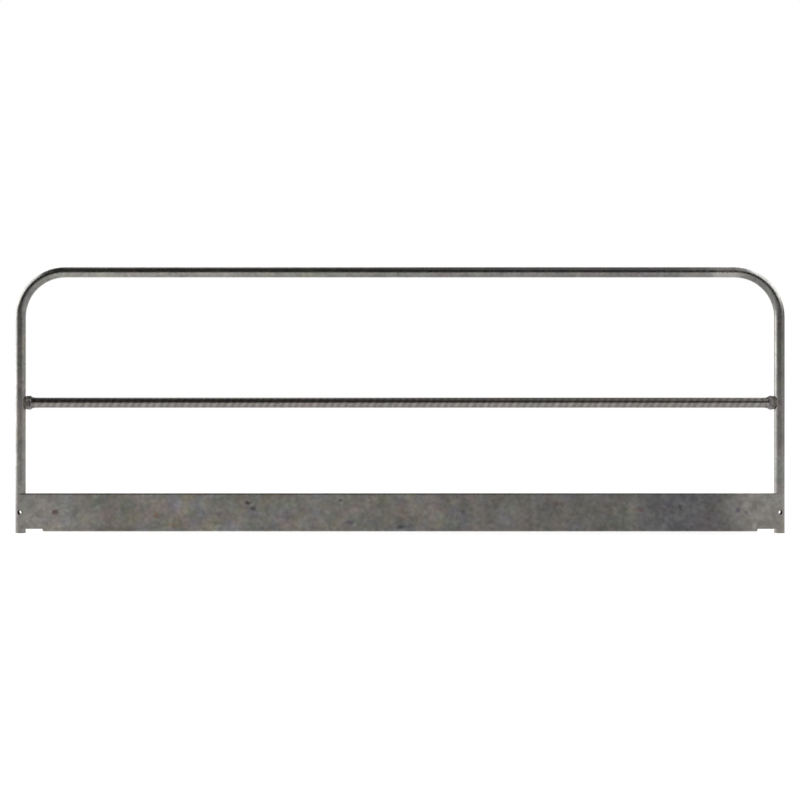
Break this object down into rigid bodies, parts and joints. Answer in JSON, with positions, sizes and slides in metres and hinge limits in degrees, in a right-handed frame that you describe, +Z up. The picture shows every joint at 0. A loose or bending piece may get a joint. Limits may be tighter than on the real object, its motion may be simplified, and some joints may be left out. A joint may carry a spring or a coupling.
{
  "type": "temporary guardrail",
  "caption": "Freestanding section of temporary guardrail: a bent tube hoop with open feet, a mid rail in six-sided collars and a folded toe board lapped on the posts.",
  "frame": {"origin": "on the ground, midway between the two feet, in the plane of the posts' centre lines", "axes": "+X along the rails towards the right foot, +Y away from the toe board's side, +Z up"},
  "size_m": [3.0892, 0.0476, 1.0668],
  "materials": {
    "hoop": "weathered hot-dip galvanised tube, satin with soft mottling",
    "mid_rail": "weathered galvanised tube with faint spiral marks from straightening",
    "board": "weathered galvanised sheet, matte with pinkish and greenish mottling",
    "collar": "darker galvanised bar",
    "weld": "dark heat-tinted weld metal"
  },
  "bodies": {
    "root": {"hoop_tube": "hoop", "mid_rail_tube": "mid_rail", "toe_board": "board", "left_collar": "collar", "right_collar": "collar", "left_collar_weld": "weld", "right_collar_weld": "weld", "left_board_weld_upper": "weld", "left_board_weld_lower": "weld", "right_board_weld_upper": "weld", "right_board_weld_lower": "weld"}
  },
  "joints": []
}
